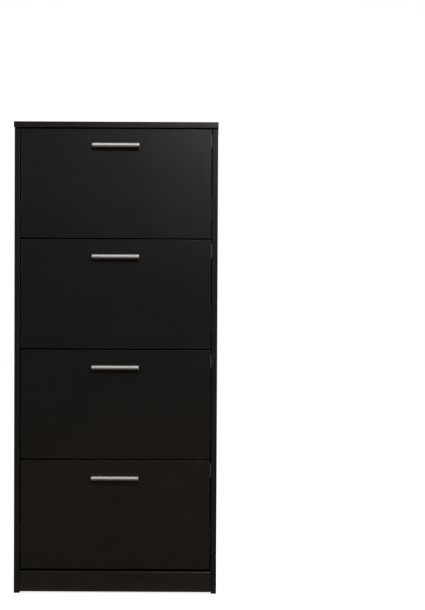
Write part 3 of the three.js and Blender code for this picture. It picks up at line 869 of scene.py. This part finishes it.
def make_handle(number, flap):
    low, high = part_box(f"handle_{number}")
    radius = (high.z - low.z) / 2
    height = (high.z + low.z) / 2
    bar_y = low.y + radius
    bm = rod((low.x, bar_y, height), (high.x, bar_y, height), radius, BAR_SEGMENTS, END_ROUND)
    for side in SIDES:
        x = centre_of(f"handle_screw_{side}_{number}").x
        post = rod((x, high.y, height), (x, bar_y, height), POST_RADIUS, BAR_SEGMENTS // 2)
        bm = combine(bm, post, "UNION")
    finish_piece(bm, f"handle_{number}_bar", flap, [NICKEL], [f"handle_{number}"])


for number, flap in enumerate(FLAPS, 1):
    make_handle(number, flap)
print("handles:", len(FLAPS))

# %% [markdown]
# ## Screws
#
# Flat-pack screws have a low domed head with a cross recess. One head is turned, two tapered
# slots are cut into it, and copies of it are set wherever the assembly has a screw. Real screws
# never stop at the same angle, so each copy is turned by a random amount, from a fixed seed.

# %% Screw heads
SLOT_TAPER = (0.45, 0.6, 1)


def cross_recess(length, width, depth, top):
    slots = []
    for turn in (0, math.pi / 2):
        slot = box_between((-length / 2, -width / 2, top - depth), (length / 2, width / 2, top + MM))
        floor_verts = [vert for vert in slot.verts if vert.co.z < top]
        bmesh.ops.scale(slot, vec=SLOT_TAPER, verts=floor_verts)
        slot.transform(Matrix.Rotation(turn, 4, "Z"))
        slots.append(slot)
    return slots


def screw_head(radius, height, recess_depth, steps=24):
    bm = turned([(0, 0), (radius, 0), (radius, 0.22 * height), (0.95 * radius, 0.5 * height),
                 (0.78 * radius, 0.78 * height), (0.45 * radius, 0.95 * height), (0, height)], steps)
    for slot in cross_recess(1.15 * radius, 0.26 * radius, recess_depth, height):
        bm = combine(bm, slot, "DIFFERENCE")
    return bm


PAN_HEAD = screw_head(radius=4.0 * MM, height=2.2 * MM, recess_depth=1.2 * MM)
SMALL_HEAD = screw_head(radius=3.4 * MM, height=2.0 * MM, recess_depth=1.1 * MM)
FLAT_HEAD = screw_head(radius=3.3 * MM, height=0.7 * MM, recess_depth=0.5 * MM)
print("faces of a head:", len(PAN_HEAD.faces))

# %% Screw places
SEATING = random.Random(7)


def set_screws(name, body, head, points, direction):
    bm = bmesh.new()
    for point in points:
        add_copy(bm, head, aimed(point, direction, SEATING.uniform(0, math.pi)))
    finish_piece(bm, name, body, [ZINC])


SHANK_RADIUS = 2 * MM
HEAD_GAP = 0.2 * MM

for number, flap in enumerate(FLAPS, 1):
    nodes = [f"handle_screw_{side}_{number}" for side in SIDES]
    door_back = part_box(f"door_{number}")[1].y
    bm = bmesh.new()
    for node in nodes:
        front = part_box(node)[0].y
        centre = centre_of(node)
        seat = (centre.x, door_back + HEAD_GAP, centre.z)
        shank = rod((centre.x, front, centre.z), seat, SHANK_RADIUS, 12)
        add_copy(bm, shank, Matrix())
        shank.free()
        add_copy(bm, PAN_HEAD, aimed(seat, (0, 1, 0), SEATING.uniform(0, math.pi)))
    finish_piece(bm, f"handle_screws_{number}", flap, [ZINC], nodes)
print("handle screws:", 2 * len(FLAPS))

# %% [markdown]
# ## Moulded fittings
#
# The cheeks, pivot brackets, catches and glides are plastic mouldings whose shape is already
# right, down to holes, ribs and slots. A mould never leaves a knife edge, though. So each is
# copied, its loose triangles are welded and merged back into flat faces, and every sharp edge
# is rounded by a few tenths of a millimetre.

# %% Moulding builder
MOULD_ROUND = 0.35 * MM
FLAT_WITHIN = math.radians(0.5)


def make_moulding(node, material):
    bm = bmesh.new()
    bm.from_mesh(frame["nodes"][node].data)
    bmesh.ops.remove_doubles(bm, verts=bm.verts, dist=WELD)
    bmesh.ops.dissolve_limit(bm, angle_limit=FLAT_WITHIN, verts=bm.verts, edges=bm.edges)
    sharp = [edge for edge in bm.edges if edge.calc_face_angle(0.0) > SHARP_ABOVE]
    round_edges(bm, MOULD_ROUND, sharp, segments=2)
    finish_piece(bm, f"{node}_moulding", BODY_OF[node], [material], [node])


for number in NUMBERS:
    for side in SIDES:
        make_moulding(f"cheek_{side}_{number}", BLACK_PLASTIC)
        make_moulding(f"pivot_bracket_{side}_{number}", BLACK_PLASTIC)
    make_moulding(f"catch_{number}", GREY_PLASTIC)
for side in SIDES:
    for end in ("front", "rear"):
        make_moulding(f"glide_{side}_{end}", NYLON)

# %% [markdown]
# Three screws hold each cheek to its door and two hold each bracket to its side panel. Their
# places are measured from the corners of the mouldings, where the moulded holes are.

# %% Fitting screws
FLANGE_HALF_WIDTH = 6 * MM
FLANGE_THICKNESS = 2.5 * MM
FLANGE_SCREW_END = 22 * MM
BRACKET_SCREW_INSET = 9 * MM
BRACKET_PLATE = 2.8 * MM

for number, flap in enumerate(FLAPS, 1):
    flange_points = []
    for side, sign in SIDES.items():
        low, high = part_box(f"cheek_{side}_{number}")
        inner = min(abs(low.x), abs(high.x))
        x = sign * (inner + FLANGE_HALF_WIDTH)
        y = low.y + FLANGE_THICKNESS
        ends = low.z + FLANGE_SCREW_END, high.z - FLANGE_SCREW_END
        flange_points += [(x, y, z) for z in (ends[0], sum(ends) / 2, ends[1])]
        low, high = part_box(f"pivot_bracket_{side}_{number}")
        face_x = sign * (max(abs(low.x), abs(high.x)) - BRACKET_PLATE)
        plate_points = [(face_x, high.y - BRACKET_SCREW_INSET, low.z + BRACKET_SCREW_INSET),
                        (face_x, low.y + BRACKET_SCREW_INSET, high.z - BRACKET_SCREW_INSET)]
        set_screws(f"bracket_screws_{side}_{number}", "carcass", FLAT_HEAD, plate_points, (-sign, 0, 0))
    set_screws(f"cheek_screws_{number}", flap, SMALL_HEAD, flange_points, (0, 1, 0))
print("screws in the cheeks and in the brackets:", [len(FLAPS) * len(flange_points),
                                                    len(FLAPS) * len(SIDES) * len(plate_points)])

# %% [markdown]
# ## Catches and strike plates
#
# A magnetic catch is a plastic housing with a small magnet between two steel plates. They
# reach just past the housing's face and meet a steel strike plate on the back of the door.
# The plates are plain stampings, so each is a box with rounded corners and softened edges.

# %% Catch magnets
POLE_THICKNESS = 1.2 * MM
MAGNET_THICKNESS = 5 * MM
MAGNET_SHORTER = 1 * MM
POLE_HEIGHT = 26 * MM
POLE_PROUD = 0.12 * MM
POLE_DEPTH = 3 * MM
POLE_CORNER = 0.4 * MM
MAGNET_CORNER = 0.3 * MM
STAMPED_EDGE = 0.15 * MM
HOUSING_WALL = 2.5 * MM
CATCH_SCREW_INSET = 8 * MM


def stamped(low, high, corner, axis):
    """A plate whose four edges along the given axis are rounded by the corner radius."""
    bm = box_between(low, high)
    pillars = []
    for edge in bm.edges:
        along = (edge.verts[0].co - edge.verts[1].co).normalized()
        if abs(along[axis]) > ALIGNED:
            pillars.append(edge)
    round_edges(bm, corner, pillars, segments=4)
    rims = [edge for edge in bm.edges if edge.calc_face_angle(0.0) > SHARP_ABOVE]
    round_edges(bm, STAMPED_EDGE, rims, segments=2)
    return bm


for number in NUMBERS:
    low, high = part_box(f"catch_{number}")
    left = low.x + HOUSING_WALL
    centre = centre_of(f"catch_{number}")
    foot, head = centre.z - POLE_HEIGHT / 2, centre.z + POLE_HEIGHT / 2
    front, back = low.y - POLE_PROUD, low.y + POLE_DEPTH
    steel = bmesh.new()
    for x in (left, left + POLE_THICKNESS + MAGNET_THICKNESS):
        pole = stamped((x, front, foot), (x + POLE_THICKNESS, back, head), POLE_CORNER, 0)
        add_copy(steel, pole, Matrix())
        pole.free()
    finish_piece(steel, f"catch_poles_{number}", "carcass", [ZINC])
    magnet = stamped((left + POLE_THICKNESS, low.y - POLE_PROUD / 2, foot + MAGNET_SHORTER),
                     (left + POLE_THICKNESS + MAGNET_THICKNESS, back, head - MAGNET_SHORTER),
                     MAGNET_CORNER, 1)
    finish_piece(magnet, f"catch_magnet_{number}", "carcass", [FERRITE])
    points = [(low.x, centre.y, low.z + CATCH_SCREW_INSET),
              (low.x, centre.y, high.z - CATCH_SCREW_INSET)]
    set_screws(f"catch_screws_{number}", "carcass", SMALL_HEAD, points, (-1, 0, 0))
print("catches:", len(FLAPS))

# %% Strike plates
STRIKE_HALF_WIDTH = 8 * MM
STRIKE_HALF_HEIGHT = 19 * MM
STRIKE_THICKNESS = 0.9 * MM
STRIKE_FROM_EDGE = 0.8 * MM
STRIKE_CORNER = 2.5 * MM

for number, flap in enumerate(FLAPS, 1):
    door_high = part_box(f"door_{number}")[1]
    height = centre_of(f"catch_{number}").z
    x = door_high.x - STRIKE_FROM_EDGE - STRIKE_HALF_WIDTH
    plate = stamped((x - STRIKE_HALF_WIDTH, door_high.y, height - STRIKE_HALF_HEIGHT),
                    (x + STRIKE_HALF_WIDTH, door_high.y + STRIKE_THICKNESS, height + STRIKE_HALF_HEIGHT),
                    STRIKE_CORNER, 1)
    finish_piece(plate, f"strike_plate_{number}", flap, [ZINC])
print("strike plates:", len(FLAPS))

# %% [markdown]
# ## Cam locks
#
# The rails and the bottom are pulled tight against the side panels by cam locks, which are
# zinc discs set flush in the board. They show on the rails' front faces when a door is open
# and under the bottom panel. A disc is a low turned part with a wide cross recess, cut into a
# face that lies a little below the disc's rim.

# %% Cam discs
CAM_RADIUS = 7.5 * MM
CAM_SUNK = 2 * MM
CAM_RIM_RISE = 0.25 * MM
CAM_FACE_RISE = 0.05 * MM
CAM_FROM_END = 34 * MM
CAM_FROM_EDGE = 40 * MM
CAM_MAX_TURN = 0.4


def make_cam_disc():
    disc = turned([(0, -CAM_SUNK), (CAM_RADIUS, -CAM_SUNK), (CAM_RADIUS, 0),
                   (CAM_RADIUS - 0.3 * MM, CAM_RIM_RISE), (5.2 * MM, CAM_RIM_RISE),
                   (4.8 * MM, CAM_FACE_RISE), (0, CAM_FACE_RISE)], 32)
    for slot in cross_recess(length=7.5 * MM, width=1.4 * MM, depth=1.6 * MM, top=CAM_FACE_RISE):
        disc = combine(disc, slot, "DIFFERENCE")
    return disc


CAM_DISC = make_cam_disc()
print("faces of a cam disc:", len(CAM_DISC.faces))

# %% Cam places
cam_places = []
for rail in ("rail_top_rear", "rail_middle_rear"):
    low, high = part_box(rail)
    for sign in SIDES.values():
        cam_places.append(((sign * (high.x - CAM_FROM_END), low.y, centre_of(rail).z), (0, -1, 0)))
low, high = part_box("bottom_panel")
for sign in SIDES.values():
    for y in (low.y + CAM_FROM_EDGE, high.y - CAM_FROM_EDGE):
        cam_places.append(((sign * (high.x - CAM_FROM_END), y, low.z), (0, 0, -1)))

cams = bmesh.new()
for point, direction in cam_places:
    turn = SEATING.uniform(-CAM_MAX_TURN, CAM_MAX_TURN)
    add_copy(cams, CAM_DISC, aimed(point, direction, turn))
finish_piece(cams, "cam_locks", "carcass", [ZINC])
print("cam locks:", len(cam_places))

# %% [markdown]
# ## The size at the end
#
# Dressing the cabinet is meant to keep its size. The box of the plain solids, measured at the
# start, and the box of the finished model are printed, one at the start and one here, so they can be compared.

# %% Sizes for the record
low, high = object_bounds()
print("visual size:", [round(value, 4) for value in high - low])
